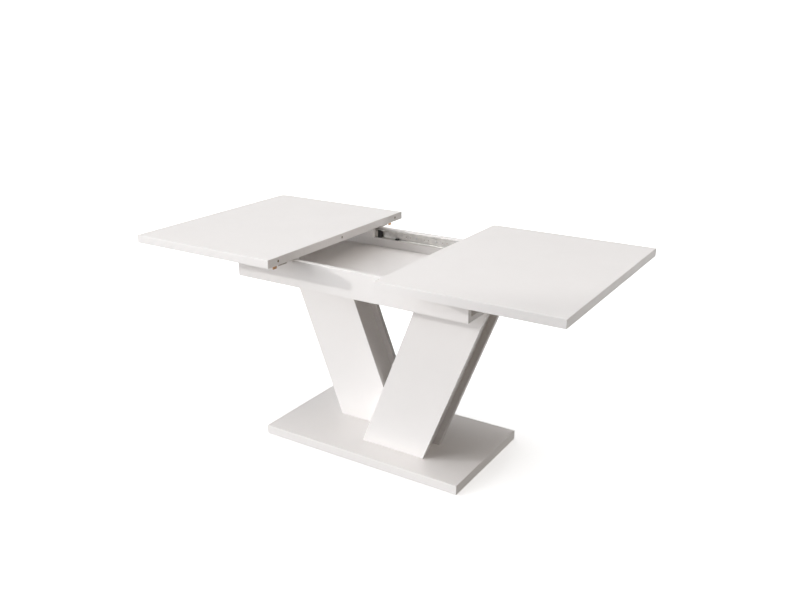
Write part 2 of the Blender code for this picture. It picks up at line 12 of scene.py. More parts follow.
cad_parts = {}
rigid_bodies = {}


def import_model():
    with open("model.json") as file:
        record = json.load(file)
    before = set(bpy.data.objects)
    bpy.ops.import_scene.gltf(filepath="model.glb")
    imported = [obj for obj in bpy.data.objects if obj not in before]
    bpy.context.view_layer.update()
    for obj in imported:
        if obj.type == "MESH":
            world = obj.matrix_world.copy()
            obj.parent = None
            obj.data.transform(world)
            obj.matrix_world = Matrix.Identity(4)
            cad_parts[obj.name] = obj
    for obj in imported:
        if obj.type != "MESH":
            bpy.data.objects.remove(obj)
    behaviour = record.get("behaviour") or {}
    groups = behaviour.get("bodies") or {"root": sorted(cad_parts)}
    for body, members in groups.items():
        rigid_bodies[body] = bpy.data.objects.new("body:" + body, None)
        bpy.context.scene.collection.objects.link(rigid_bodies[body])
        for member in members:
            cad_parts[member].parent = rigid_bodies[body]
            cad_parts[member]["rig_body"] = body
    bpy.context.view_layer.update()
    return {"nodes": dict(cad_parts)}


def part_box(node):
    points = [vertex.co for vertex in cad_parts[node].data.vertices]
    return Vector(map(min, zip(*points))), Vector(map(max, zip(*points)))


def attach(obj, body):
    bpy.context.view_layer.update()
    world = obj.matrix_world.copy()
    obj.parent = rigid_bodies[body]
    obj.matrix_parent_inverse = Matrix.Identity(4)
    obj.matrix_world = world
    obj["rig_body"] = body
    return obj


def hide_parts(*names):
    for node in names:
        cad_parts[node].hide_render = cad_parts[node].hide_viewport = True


for leftover in list(bpy.data.objects):
    bpy.data.objects.remove(leftover)
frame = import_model()

SIDES = (("left", -1), ("right", 1))
WALLS = (("front", -1), ("back", 1))

BAND = 0.0010                 # thickness of an edge band
SEAM = 0.00012                # width and depth of the hairline beside a band
EDGE_RADIUS = 0.0008          # rounding of a banded edge
CORNER_RADIUS = 0.0010        # rounding of a board's outline
LEAST_RADIUS = 0.0001         # what is left of that rounding well inside the outline
ROUNDING_STEPS = 4
SMOOTH_BELOW = math.radians(40)     # edges flatter than this are shaded smooth

RAIL_SHEET = 0.0012           # the slides' rolled sheet
LOCK_SHEET = 0.0015           # the locks' plates

SOCKET_PLAY = 0.0003          # dowel holes beyond the dowels' radius, and beyond their ends
SOCKET_DEPTH = 0.012          # of the left half's three sockets
FIXING_RADIUS = 0.0022        # blind holes in the aprons, behind the rails' slots
FIXING_DEPTH = 0.010

BALL_PITCH = 0.0115
BALL_PLAY = 0.00005
CAGE_SHEET = 0.0005
CAGE_HALF_WIDTH = 0.0026
CAGE_WINDOW_PLAY = 0.00015


# ---------------------------------------------------------------- node materials
class Nodes:
    """Short calls to build one material's node tree."""

    def __init__(self, name):
        self.material = bpy.data.materials.new(name)
        self.material.use_nodes = True
        self.tree = self.material.node_tree
        self.shader = self.tree.nodes["Principled BSDF"]
        self.place = self.tree.nodes.new("ShaderNodeTexCoord").outputs["Object"]

    def link(self, output, target):
        self.tree.links.new(output, target)

    def scaled(self, scale):
        node = self.tree.nodes.new("ShaderNodeMapping")
        node.inputs["Scale"].default_value = scale
        self.link(self.place, node.inputs["Vector"])
        return node.outputs["Vector"]

    def noise(self, scale, detail=2.0, roughness=0.5, at=None):
        node = self.tree.nodes.new("ShaderNodeTexNoise")
        node.inputs["Scale"].default_value = scale
        node.inputs["Detail"].default_value = detail
        node.inputs["Roughness"].default_value = roughness
        self.link(at or self.place, node.inputs["Vector"])
        return node.outputs["Fac"]

    def cells(self, scale, at=None):
        node = self.tree.nodes.new("ShaderNodeTexVoronoi")
        node.inputs["Scale"].default_value = scale
        self.link(at or self.place, node.inputs["Vector"])
        return node.outputs["Color"]

    def ramp(self, factor, stops):
        node = self.tree.nodes.new("ShaderNodeValToRGB")
        points = node.color_ramp.elements
        while len(points) < len(stops):
            points.new(0.5)
        for point, (place, colour) in zip(points, stops):
            point.position = place
            point.color = (*colour, 1.0)
        self.link(factor, node.inputs["Fac"])
        return node.outputs["Color"]

    def spread(self, factor, low, high, start=0.3, end=0.7):
        node = self.tree.nodes.new("ShaderNodeMapRange")
        limits = (("From Min", start), ("From Max", end), ("To Min", low), ("To Max", high))
        for name, value in limits:
            node.inputs[name].default_value = value
        self.link(factor, node.inputs["Value"])
        return node.outputs["Result"]

    def bump(self, height, strength, distance):
        node = self.tree.nodes.new("ShaderNodeBump")
        node.inputs["Strength"].default_value = strength
        node.inputs["Distance"].default_value = distance
        self.link(height, node.inputs["Height"])
        before = self.shader.inputs["Normal"]
        if before.is_linked:
            self.link(before.links[0].from_socket, node.inputs["Normal"])
        self.link(node.outputs["Normal"], before)

    def set(self, **values):
        for name, value in values.items():
            self.shader.inputs[name.replace("_", " ").title()].default_value = value


def shade(colour, factor):
    return tuple(part * factor for part in colour)


def laminate(name, colour, roughness, pearl):
    """Satin melamine: a faint cloudiness, a fine pearl grain and uneven sheen."""
    nodes = Nodes(name)
    cloud = nodes.noise(7.0, 4.0, 0.6)
    nodes.link(nodes.ramp(cloud, ((0.30, shade(colour, 0.985)), (0.70, colour))),
               nodes.shader.inputs["Base Color"])
    sheen = nodes.noise(38.0, 3.0)
    nodes.link(nodes.spread(sheen, roughness - 0.03, roughness + 0.03),
               nodes.shader.inputs["Roughness"])
    nodes.bump(nodes.noise(1400.0, 2.0), pearl, 0.00006)
    return nodes.material


def chipboard(name, painted_shade_factor=1.0):
    """Raw particle board: pale and dark chips; a factor below one darkens the whole board, as painted
    shade.
    """
    nodes = Nodes(name)
    chips = nodes.cells(420.0, nodes.scaled((1.0, 1.0, 0.45)))
    grain = nodes.noise(60.0, 5.0, 0.7, chips)
    stops = ((0.25, (0.30, 0.21, 0.13)), (0.45, (0.52, 0.41, 0.29)), (0.75, (0.71, 0.59, 0.44)))
    nodes.link(nodes.ramp(grain, [(place, shade(colour, painted_shade_factor)) for place, colour in stops]),
               nodes.shader.inputs["Base Color"])
    nodes.set(roughness=0.85)
    nodes.bump(grain, 0.5, 0.0005)
    return nodes.material


def zinc(name, low, high, roughness):
    """Rolled zinc-plated sheet: streaks along X and a blotchy plating."""
    nodes = Nodes(name)
    nodes.set(metallic=1.0)
    blotch = nodes.noise(40.0, 3.0, 0.5)
    nodes.link(nodes.ramp(blotch, ((0.30, low), (0.70, high))), nodes.shader.inputs["Base Color"])
    streak = nodes.noise(1.0, 3.0, 0.6, nodes.scaled((8.0, 1200.0, 1200.0)))
    nodes.link(nodes.spread(streak, roughness - 0.03, roughness + 0.07),
               nodes.shader.inputs["Roughness"])
    nodes.bump(streak, 0.06, 0.00004)
    return nodes.material


def passivated(name):
    """Yellow-zinc sheet, whose film drifts from gold to rose."""
    nodes = Nodes(name)
    nodes.set(metallic=1.0)
    film = nodes.noise(160.0, 3.0, 0.6)
    nodes.link(nodes.ramp(film, ((0.30, (0.44, 0.22, 0.11)), (0.50, (0.46, 0.27, 0.15)),
                                 (0.70, (0.40, 0.29, 0.19)))), nodes.shader.inputs["Base Color"])
    nodes.link(nodes.spread(nodes.noise(500.0, 3.0), 0.26, 0.40), nodes.shader.inputs["Roughness"])
    return nodes.material


def moulded(name, colour, roughness):
    """Moulded plastic with a spark-eroded texture."""
    nodes = Nodes(name)
    grain = nodes.noise(2600.0, 3.0)
    nodes.link(nodes.ramp(grain, ((0.30, shade(colour, 0.8)), (0.70, shade(colour, 1.2)))),
               nodes.shader.inputs["Base Color"])
    nodes.link(nodes.spread(grain, roughness - 0.05, roughness + 0.05),
               nodes.shader.inputs["Roughness"])
    nodes.bump(grain, 0.25, 0.00008)
    return nodes.material


def felt(name):
    """Pressed grey felt."""
    nodes = Nodes(name)
    fibre = nodes.noise(900.0, 6.0, 0.75)
    nodes.link(nodes.ramp(fibre, ((0.30, (0.20, 0.20, 0.20)), (0.70, (0.38, 0.38, 0.37)))),
               nodes.shader.inputs["Base Color"])
    nodes.set(roughness=0.95)
    nodes.bump(fibre, 0.6, 0.0004)
    return nodes.material


def beech(name):
    """Turned beech: grain along X with short dark rays."""
    nodes = Nodes(name)
    grain = nodes.noise(1.0, 4.0, 0.6, nodes.scaled((60.0, 1300.0, 1300.0)))
    nodes.link(nodes.ramp(grain, ((0.32, (0.47, 0.29, 0.15)), (0.48, (0.66, 0.46, 0.28)),
                                  (0.70, (0.76, 0.57, 0.38)))), nodes.shader.inputs["Base Color"])
    nodes.link(nodes.spread(grain, 0.55, 0.72), nodes.shader.inputs["Roughness"])
    nodes.bump(grain, 0.3, 0.0002)
    return nodes.material


WHITE = (0.83, 0.80, 0.78)
BOARD_FACE = laminate("white_laminate_face", WHITE, 0.40, 0.10)
BOARD_BAND = laminate("white_edge_band", WHITE, 0.34, 0.03)
RAW = chipboard("raw_chipboard")
# Bare chipboard for the inside of drilled holes, darkened as painted shade.
PAINTED_SHADE_BORE = chipboard("drilled_chipboard_painted_shade", 0.55)
ZINC = zinc("zinc_sheet", (0.58, 0.57, 0.55), (0.74, 0.72, 0.69), 0.34)
GOLD = passivated("yellow_zinc_sheet")
DULL = zinc("dull_zinc_sheet", (0.40, 0.36, 0.32), (0.50, 0.46, 0.41), 0.45)
STEEL = zinc("bright_steel", (0.50, 0.50, 0.50), (0.62, 0.62, 0.63), 0.30)
BLACK = moulded("black_moulded_plastic", (0.014, 0.013, 0.012), 0.48)
FELT = felt("grey_glide_felt")
BEECH = beech("beech_wood")


# ---------------------------------------------------------------- mesh helpers
def cad_points(node):
    return [vertex.co.copy() for vertex in frame["nodes"][node].data.vertices]


def add(name, shape, materials, body, node=None):
    """Turn a bmesh into a piece that rides on a body, and may stand for a CAD node."""
    bmesh.ops.recalc_face_normals(shape, faces=shape.faces)
    mesh = bpy.data.meshes.new(name)
    shape.to_mesh(mesh)
    shape.free()
    piece = bpy.data.objects.new(name, mesh)
    bpy.context.scene.collection.objects.link(piece)
    for material in materials:
        mesh.materials.append(material)
    mesh.shade_smooth()
    mesh.set_sharp_from_angle(angle=SMOOTH_BELOW)
    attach(piece, body)
    if node:
        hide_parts(node)
    return piece


def along_x(a, b, t):
    return Vector((t, a, b))


def along_y(a, b, t):
    return Vector((a, t, b))


def along_z(a, b, t):
    return Vector((a, b, t))


def rectangle(a_low, a_high, b_low, b_high):
    return [(a_low, b_low), (a_high, b_low), (a_high, b_high), (a_low, b_high)]


def circle(sides):
    """The cosine and sine of evenly spaced angles."""
    return [(math.cos(2 * math.pi * i / sides), math.sin(2 * math.pi * i / sides)) for i in range(sides)]


def join_rings(shape, rings, material_index=0):
    """Faces between each ring of vertices and the next."""
    count = len(rings[0])
    for lower, upper in zip(rings, rings[1:]):
        for i in range(count):
            j = (i + 1) % count
            shape.faces.new((lower[i], lower[j], upper[j], upper[i])).material_index = material_index


def inset_outline(outline, inset, radius):
    """Move a convex outline in by inset and round its corners, with the same count of points."""
    points = [Vector(p) for p in outline]
    area = sum(a.cross(b) for a, b in zip(points, points[1:] + points[:1]))
    turn = 1 if area > 0 else -1
    count = len(points)
    sides = []
    for i, point in enumerate(points):
        along = (points[(i + 1) % count] - point).normalized()
        inward = Vector((-along.y, along.x)) * turn
        sides.append((point + inward * inset, along, inward))
    rounded = []
    for i, (start, along, inward) in enumerate(sides):
        before, previous, inward_before = sides[i - 1]
        reach = (start - before).cross(along) / previous.cross(along)
        corner = before + previous * reach
        half = math.acos(max(-1.0, min(1.0, previous.dot(along)))) / 2
        back = radius * math.tan(half)
        centre = corner - previous * back + inward_before * radius
        spoke = -inward_before
        for step in range(ROUNDING_STEPS + 1):
            angle = turn * 2 * half * step / ROUNDING_STEPS
            turned_spoke = Vector((spoke.x * math.cos(angle) - spoke.y * math.sin(angle),
                                   spoke.x * math.sin(angle) + spoke.y * math.cos(angle)))
            rounded.append(centre + turned_spoke * radius)
    return rounded


def slab(name, outline, low, high, turn, body, node):
    """A laminated board: two faces, a hairline seam, and a rounded edge band all round."""
    arc = [math.pi / 2 * i / ROUNDING_STEPS for i in range(ROUNDING_STEPS + 1)]
    seam_at = max(BAND, EDGE_RADIUS + 2 * SEAM)
    rim = [(seam_at + SEAM, 0.0), (seam_at, SEAM), (seam_at - SEAM, 0.0)]
    rim += [(EDGE_RADIUS * (1 - math.sin(t)), EDGE_RADIUS * (1 - math.cos(t))) for t in arc]
    levels = [(inset, low + t) for inset, t in rim]
    levels += [(inset, high - t) for inset, t in reversed(rim)]
    shape = bmesh.new()
    rings = []
    for inset, t in levels:
        corner = max(CORNER_RADIUS - inset, LEAST_RADIUS)
        rings.append([shape.verts.new(turn(a, b, t)) for a, b in inset_outline(outline, inset, corner)])
    join_rings(shape, rings, material_index=1)
    for ring in (rings[0], rings[-1]):
        shape.faces.new(ring).material_index = 0
    piece = add(name, shape, (BOARD_FACE, BOARD_BAND), body, node)
    weighted = piece.modifiers.new("Even shading", "WEIGHTED_NORMAL")
    weighted.keep_sharp = True


def turned(name, profile, turn, place, material, body, node=None, sides=32):
    """A solid of revolution about the turn's axis; profile lists (radius, place along it)."""
    shape = bmesh.new()
    rings = []
    for radius, t in profile:
        rings.append([shape.verts.new(turn(radius * c, radius * s, t) + Vector(place))
                      for c, s in circle(sides)])
    join_rings(shape, rings)
    shape.faces.new(rings[0])
    shape.faces.new(rings[-1])
    return add(name, shape, (material,), body, node)


def cut(piece, tools):
    """Cut the tools out of a piece for good and throw them away."""
    for tool in tools:
        boolean = piece.modifiers.new("Cut", "BOOLEAN")
        boolean.solver = "EXACT"
        boolean.object = tool
        boolean.material_mode = "TRANSFER"
        with bpy.context.temp_override(object=piece, active_object=piece):
            bpy.ops.object.modifier_move_to_index(modifier=boolean.name, index=0)
            bpy.ops.object.modifier_apply(modifier=boolean.name)
        bpy.data.objects.remove(tool)


def drill(radius, start, end, turn, place):
    """A cutter whose material lines the hole that it leaves with bare chipboard, darkened there as painted
    shade.
    """
    profile = [(radius, min(start, end)), (radius, max(start, end))]
    return turned("drill", profile, turn, place, PAINTED_SHADE_BORE, "root", sides=24)


# ---------------------------------------------------------------- boards
def flat_board(name, node, body):
    """A board that lies flat, from its CAD node's box."""
    low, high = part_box(node)
    slab(name, rectangle(low.x, high.x, low.y, high.y), low.z, high.z, along_z, body, node)


def standing_board(name, node, body):
    """A board that stands on edge along X."""
    low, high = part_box(node)
    slab(name, rectangle(low.x, high.x, low.z, high.z), low.y, high.y, along_y, body, node)


def leg_board(name, node, body):
    """A slanted board: its outline is read from the CAD node's lowest and highest corners."""
    low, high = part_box(node)
    tolerance = 0.001
    feet = [p.x for p in cad_points(node) if p.z < low.z + tolerance]
    heads = [p.x for p in cad_points(node) if p.z > high.z - tolerance]
    lean = (min(heads) - min(feet)) / (high.z - low.z)
    ease = low.x - min(feet) if lean > 0 else high.x - max(feet)
    outline = [(min(feet) + min(ease, 0.0), low.z), (max(feet) + max(ease, 0.0), low.z),
               (max(heads) - min(ease, 0.0), high.z), (min(heads) - max(ease, 0.0), high.z)]
    slab(name, outline, low.y, high.y, along_y, body, node)


def make_boards():
    flat_board("base_board", "base_plate", "root")
    flat_board("box_floor_board", "box_floor", "root")
    for wall, _ in WALLS:
        standing_board(f"{wall}_apron_board", f"{wall}_apron", "root")
    for side, _ in SIDES:
        flat_board(f"{side}_top_board", f"{side}_top", f"{side}_top")
        for wall, _ in WALLS:
            standing_board(f"{side}_{wall}_cleat_board", f"{side}_{wall}_cleat", f"{side}_top")
            leg_board(f"leg_{side}_{wall}_board", f"leg_{side}_{wall}_panel", "root")
        for part in ("inner", "outer"):
            leg_board(f"leg_{side}_{part}_board", f"leg_{side}_{part}_side", "root")


def drill_tops():
    """Three sockets in the left half's inner edge and the pins' holes in the right half's."""
    overshoot = 0.005
    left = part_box("left_top")[1].x
    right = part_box("right_top")[0].x
    for name in ("front", "middle", "back"):
        low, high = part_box(f"alignment_pin_{name}")
        radius = (high.z - low.z) / 2 + SOCKET_PLAY
        place = (0, (low.y + high.y) / 2, (low.z + high.z) / 2)
        for side, start, end in (("left", left + overshoot, left - SOCKET_DEPTH),
                                 ("right", right - overshoot, high.x + SOCKET_PLAY)):
            cut(bpy.data.objects[f"{side}_top_board"], [drill(radius, start, end, along_x, place)])


def drill_aprons():
    """A blind fixing hole in the apron behind each slot of its rail."""
    overshoot = 0.003
    for wall, out in WALLS:
        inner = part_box(f"{wall}_apron")[1 if out < 0 else 0].y
        start, end = inner - out * overshoot, inner + out * FIXING_DEPTH
        holes, middle = web_holes(f"{wall}_fixed_rail")
        tools = [drill(FIXING_RADIUS, start, end, along_y, (x, 0, middle))
                 for x, width, height in holes if not screwed(width, height)]
        cut(bpy.data.objects[f"{wall}_apron_board"], tools)


# ---------------------------------------------------------------- hardware
def eased(node, material, width):
    """The CAD piece with its edges eased, as rolling, stamping or moulding leaves them."""
    shape = bmesh.new()
    shape.from_mesh(frame["nodes"][node].data)
    bmesh.ops.remove_doubles(shape, verts=shape.verts, dist=0.00001)
    bmesh.ops.dissolve_limit(shape, angle_limit=math.radians(1.0), verts=shape.verts, edges=shape.edges)
    piece = add(f"{node}_piece", shape, (material,), body_of(node), node)
    bevel = piece.modifiers.new("Eased edges", "BEVEL")
    bevel.width = width
    bevel.segments = 3
    bevel.limit_method = "ANGLE"
    bevel.angle_limit = math.radians(30)
    bevel.harden_normals = True


def body_of(node):
    return frame["nodes"][node]["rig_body"]


def make_hardware():
    """Rails, stops, feet and locks; the last value is the width of the eased edge."""
    kinds = (("_fixed_rail", "zinc_steel", ZINC, 0.00045),
             ("_middle_rail", "zinc_steel", ZINC, 0.00045),
             ("_runner", "zinc_steel", ZINC, 0.00045),
             ("_lock_plate", "zinc_steel", DULL, 0.00030),
             ("_lock_catch", "zinc_steel", DULL, 0.00030),
             ("_lock_lever", "yellow_zinc", GOLD, 0.00040),
             ("_runner_stop", "black_plastic", BLACK, 0.00050),
             ("_rail_foot", "black_plastic", BLACK, 0.00080))
    for node in sorted(frame["nodes"]):
        for ending, slot, material, width in kinds:
            if node.endswith(ending):
                eased(node, material, width)


def group(name, shapes, material, body):
    """Join several bmeshes into one piece of separate solids."""
    joined = bmesh.new()
    for shape in shapes:
        mesh = bpy.data.meshes.new("part")
        shape.to_mesh(mesh)
        shape.free()
        joined.from_mesh(mesh)
        bpy.data.meshes.remove(mesh)
    add(name, joined, (material,), body)


def ball_row(places, radius):
    """One ball at each place."""
    shape = bmesh.new()
    for place in places:
        bmesh.ops.create_icosphere(shape, subdivisions=2, radius=radius,
                                   matrix=Matrix.Translation(place))
    return shape


def ribbon(x_low, x_high, y_low, y_high, z_middle, thickness, windows, window):
    """A ball cage: a thin strip along X with a round-cornered window for each ball."""
    shape = bmesh.new()
    edges_x = [x_low]
    for x in windows:
        edges_x += [x - window, x + window]
    edges_x.append(x_high)
    y_middle = (y_low + y_high) / 2
    edges_y = [y_low, y_middle - window, y_middle + window, y_high]
    grid = [[shape.verts.new((x, y, z_middle - thickness / 2)) for y in edges_y] for x in edges_x]
    faces = []
    for i in range(len(edges_x) - 1):
        for j in range(3):
            if j == 1 and i % 2 == 1:
                continue                       # a window
            faces.append(shape.faces.new((grid[i][j], grid[i + 1][j], grid[i + 1][j + 1], grid[i][j + 1])))
    made = bmesh.ops.extrude_face_region(shape, geom=faces)["geom"]
    raised = [v for v in made if isinstance(v, bmesh.types.BMVert)]
    bmesh.ops.translate(shape, vec=(0, 0, thickness), verts=raised)
    return shape


def make_balls():
    """Two rows of balls in a cage between each pair of nested rails."""
    for side, sign in SIDES:
        for wall, _ in WALLS:
            middle = f"{side}_{wall}_middle"
            middle_low, middle_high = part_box(f"{middle}_rail")
            fixed_low, fixed_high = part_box(f"{wall}_fixed_rail")
            runner_low, runner_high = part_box(f"{side}_{wall}_runner")
            inner_end = middle_high.x if sign < 0 else middle_low.x
            # Outer and inner member of each race, its start from the middle rail's end, its length.
            races = (("outer", fixed_low, fixed_high, middle_low, middle_high, 0.014, 0.230),
                     ("inner", middle_low, middle_high, runner_low, runner_high, 0.110, 0.250))
            for race, out_low, out_high, in_low, in_high, start, length in races:
                balls, cages = [], []
                room = out_high.z - in_high.z - RAIL_SHEET
                radius = room / 2 - BALL_PLAY
                y_low = max(out_low.y, in_low.y) + RAIL_SHEET
                y_high = min(out_high.y, in_high.y) - RAIL_SHEET
                count = int(length / BALL_PITCH)
                first = inner_end + sign * (start + BALL_PITCH / 2)
                xs = sorted(first + sign * BALL_PITCH * i for i in range(count))
                y = (y_low + y_high) / 2
                half = min(y_high - y, CAGE_HALF_WIDTH)
                for z in (in_high.z + room / 2, in_low.z - room / 2):
                    balls.append(ball_row([(x, y, z) for x in xs], radius))
                    cages.append(ribbon(xs[0] - BALL_PITCH / 2, xs[-1] + BALL_PITCH / 2,
                                        y - half, y + half, z, CAGE_SHEET, xs,
                                        radius + CAGE_WINDOW_PLAY))
                group(f"{middle}_{race}_balls", balls, STEEL, middle)
                group(f"{middle}_{race}_cage", cages, ZINC, middle)


def screw_shape(radius, height, countersunk, place, outward):
    """One screw head with a cross recess; outward is the way the head faces."""
    shape = bmesh.new()
    sides = 20
    if countersunk:
        profile = [(radius * 0.45, -radius * 0.55), (radius, -0.0001), (radius, height)]
    else:
        arc = [math.pi / 2 * i / 4 for i in range(4)]
        profile = [(radius, 0.0), (radius, height * 0.35)]
        profile += [(radius - height * 0.65 * (1 - math.cos(t)), height * (0.35 + 0.65 * math.sin(t)))
                    for t in arc[1:]]
    profile.append((radius * 0.60, height))
    rings = [[shape.verts.new((r * c, r * s, t)) for c, s in circle(sides)] for r, t in profile]
    join_rings(shape, rings)
    shape.faces.new(rings[0])
    long, wide, deep = radius * 0.50, radius * 0.13, min(height, radius * 0.5)
    cross = [(long, wide), (wide, wide), (wide, long), (-wide, long), (-wide, wide), (-long, wide),
             (-long, -wide), (-wide, -wide), (-wide, -long), (wide, -long), (wide, -wide), (long, -wide)]
    mouth = [shape.verts.new((a, b, height)) for a, b in cross]
    foot = [shape.verts.new((a * 0.6, b * 0.6, height - deep)) for a, b in cross]
    for i in range(len(cross)):
        j = (i + 1) % len(cross)
        shape.faces.new((mouth[j], mouth[i], foot[i], foot[j]))
    shape.faces.new(foot)
    edges = [shape.edges.get((loop[i], loop[(i + 1) % len(loop)])) for loop in (rings[-1], mouth)
             for i in range(len(loop))]
    bmesh.ops.triangle_fill(shape, use_beauty=True, use_dissolve=False, edges=edges)
    turn = Vector((0, 0, 1)).rotation_difference(Vector(outward)).to_matrix().to_4x4()
    bmesh.ops.transform(shape, matrix=Matrix.Translation(place) @ turn, verts=shape.verts)
    return shape


def web_holes(node):
    """Openings in a rail's web, read from its CAD mesh: (place along X, width, height)."""
    low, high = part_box(node)
    middle = (low.z + high.z) / 2
    reach = 0.3 * (high.z - low.z)
    rim = sorted((p.x, p.z) for p in cad_points(node) if abs(p.z - middle) < reach)
    clusters = []
    for x, z in rim:
        if clusters and x - clusters[-1][-1][0] < 0.002:
            clusters[-1].append((x, z))
        else:
            clusters.append([(x, z)])
    found = []
    for cluster in clusters:
        xs, zs = [x for x, _ in cluster], [z for _, z in cluster]
        found.append(((min(xs) + max(xs)) / 2, max(xs) - min(xs), max(zs) - min(zs)))
    return found, middle


RUNNER_SCREWS = (0.08, 0.36, 0.64, 0.92)      # shares of the runner's length
CLEAT_SCREWS = (0.07, 0.36, 0.64, 0.93)       # shares of the cleat's length


def screwed(width, height):
    """Only the round holes of the size of the screws take one."""
    return 0.005 < width < 0.007 and abs(width - height) < 0.0005


def screw_fixed_rails():
    """Pan heads through the fixed rails, into the aprons."""
    for wall, out in WALLS:
        low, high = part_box(f"{wall}_fixed_rail")
        web = low.y + RAIL_SHEET if out < 0 else high.y - RAIL_SHEET
        holes, middle = web_holes(f"{wall}_fixed_rail")
        heads = [screw_shape(0.0036, 0.0011, False, (x, web, middle), (0, -out, 0))
                 for x, width, height in holes if screwed(width, height)]
        group(f"{wall}_rail_screws", heads, STEEL, "root")


def screw_halves():
    """Pan heads through the runners into the cleats, and through the cleats up into the tops."""
    for side, _ in SIDES:
        for wall, out in WALLS:
            low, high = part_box(f"{side}_{wall}_runner")
            web = high.y - RAIL_SHEET if out < 0 else low.y + RAIL_SHEET
            middle = (low.z + high.z) / 2
            xs = [low.x + (high.x - low.x) * share for share in RUNNER_SCREWS]
            heads = [screw_shape(0.0032, 0.0010, False, (x, web, middle), (0, out, 0)) for x in xs]
            group(f"{side}_{wall}_runner_screws", heads, STEEL, f"{side}_top")
            low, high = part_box(f"{side}_{wall}_cleat")
            y = (low.y + high.y) / 2
            xs = [low.x + (high.x - low.x) * share for share in CLEAT_SCREWS]
            heads = [screw_shape(0.0040, 0.0012, False, (x, y, low.z), (0, 0, -1)) for x in xs]
            group(f"{side}_{wall}_cleat_screws", heads, STEEL, f"{side}_top")


def screw_locks():
    """Countersunk heads in each lock plate and catch, three to a sheet."""
    radius, proud = 0.0030, 0.0001
    for wall, out in WALLS:
        low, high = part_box(f"{wall}_lock_plate")
        x = (low.x + high.x) / 2
        bottom = high.z - LOCK_SHEET
        inner, outer = (low.y, high.y) if out > 0 else (high.y, low.y)
        heads = [screw_shape(radius, proud, True, (x, y, bottom), (0, 0, -1))
                 for y in (inner + out * 0.008, inner + out * 0.024, outer - out * 0.006)]
        group(f"{wall}_lock_plate_screws", heads, STEEL, "left_top")
        low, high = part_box(f"{wall}_lock_catch")
        y = (low.y + high.y) / 2
        bottom = high.z - LOCK_SHEET
        pair, single = low.x + 0.022, high.x - 0.007
        heads = [screw_shape(radius, proud, True, (x, y + side * 0.0065, bottom), (0, 0, -1))
                 for x, side in ((pair, -1), (pair, 1), (single, 0))]
        group(f"{wall}_lock_catch_screws", heads, STEEL, "right_top")


def hex_bolt(node):
    """A socket-head connecting bolt: chamfered disc head, hexagon recess, plain shank."""
    low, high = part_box(node)
    points = cad_points(node)
    x, y = (low.x + high.x) / 2, (low.y + high.y) / 2
    wide = (high.x - low.x) / 2
    top_points = [p for p in points if p.z > high.z - 0.0001]
    head_up = max(math.hypot(p.x - x, p.y - y) for p in top_points) > wide * 0.8
    levels = sorted({round(p.z, 5) for p in points})
    shank = min(math.hypot(p.x - x, p.y - y) for p in points)
    head = levels[-1] - levels[-2] if head_up else levels[1] - levels[0]
    edge, recess_radius, floor = 0.0005, 0.0026, 0.0006
    if head_up:
        top, seat, tip, way = high.z, high.z - head, low.z, 1
    else:
        top, seat, tip, way = low.z, low.z + head, high.z, -1
    profile = [(shank * 0.7, tip), (shank, tip + way * 0.001), (shank, seat), (wide, seat),
               (wide, top - way * edge), (wide - edge, top)]
    bolt = turned(f"{node}_piece", profile, along_z, (x, y, 0), STEEL, "root", node)
    depths = (top + way * 0.001, top - way * (head - floor))
    recess = turned("drill", [(recess_radius, z) for z in depths], along_z, (x, y, 0), STEEL,
                    "root", sides=6)
    cut(bolt, [recess])


def fluted_dowel(node):
    """A beech dowel with pressed flutes and chamfered ends."""
    low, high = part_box(node)
    y, z = (low.y + high.y) / 2, (low.z + high.z) / 2
    radius = (high.z - low.z) / 2
    chamfer, flute, sides = 0.0012, 0.0003, 48
    profile = [(radius - chamfer, low.x, 0.0), (radius - 0.0002, low.x + chamfer * 0.7, 0.4),
               (radius, low.x + chamfer * 1.6, 1.0), (radius, high.x - chamfer * 1.6, 1.0),
               (radius - 0.0002, high.x - chamfer * 0.7, 0.4), (radius - chamfer, high.x, 0.0)]
    shape = bmesh.new()
    rings = []
    for reach, x, depth in profile:
        ring = []
        for i, (c, s) in enumerate(circle(sides)):
            out = reach - flute * depth * (i % 2)
            ring.append(shape.verts.new((x, y + out * c, z + out * s)))
        rings.append(ring)
    join_rings(shape, rings)
    shape.faces.new(rings[0])
    shape.faces.new(rings[-1])
    add(f"{node}_dowel", shape, (BEECH,), body_of(node), node)


def glide(node):
    """A glide pad: a felt disc in a low plastic cup."""
    low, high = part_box(node)
    centre = Vector(((low.x + high.x) / 2, (low.y + high.y) / 2, 0))
    radius = (high.x - low.x) / 2
    rim, play = 0.0020, 0.0001
    pad = radius - rim - play
    turned(f"{node}_felt", [(radius - rim - 0.0004, low.z), (pad, low.z + 0.0004), (pad, high.z - 0.0006)],
           along_z, centre, FELT, "root", node)
    shape = bmesh.new()
    section = [(radius - rim, low.z + 0.0005), (radius - 0.0007, low.z + 0.0004),
               (radius, low.z + 0.0009), (radius, high.z), (radius - rim, high.z)]
    rings = [[shape.verts.new(centre + Vector((reach * c, reach * s, z))) for c, s in circle(48)]
             for reach, z in section]
    join_rings(shape, rings + rings[:1])
    add(f"{node}_cup", shape, (BLACK,), "root")


def raw_blocks():
    """The blocks inside the legs stay as the CAD has them, in raw board."""
    for node, thing in frame["nodes"].items():
        if node.endswith("_block"):
            if not thing.material_slots:
                thing.data.materials.append(RAW)
            for material_slot in thing.material_slots:
                material_slot.material = RAW


def make_small_pieces():
    for node in sorted(frame["nodes"]):
        if "_bolt_" in node:
            hex_bolt(node)
        elif node.startswith("alignment_pin"):
            fluted_dowel(node)
        elif node.startswith("base_glide"):
            glide(node)


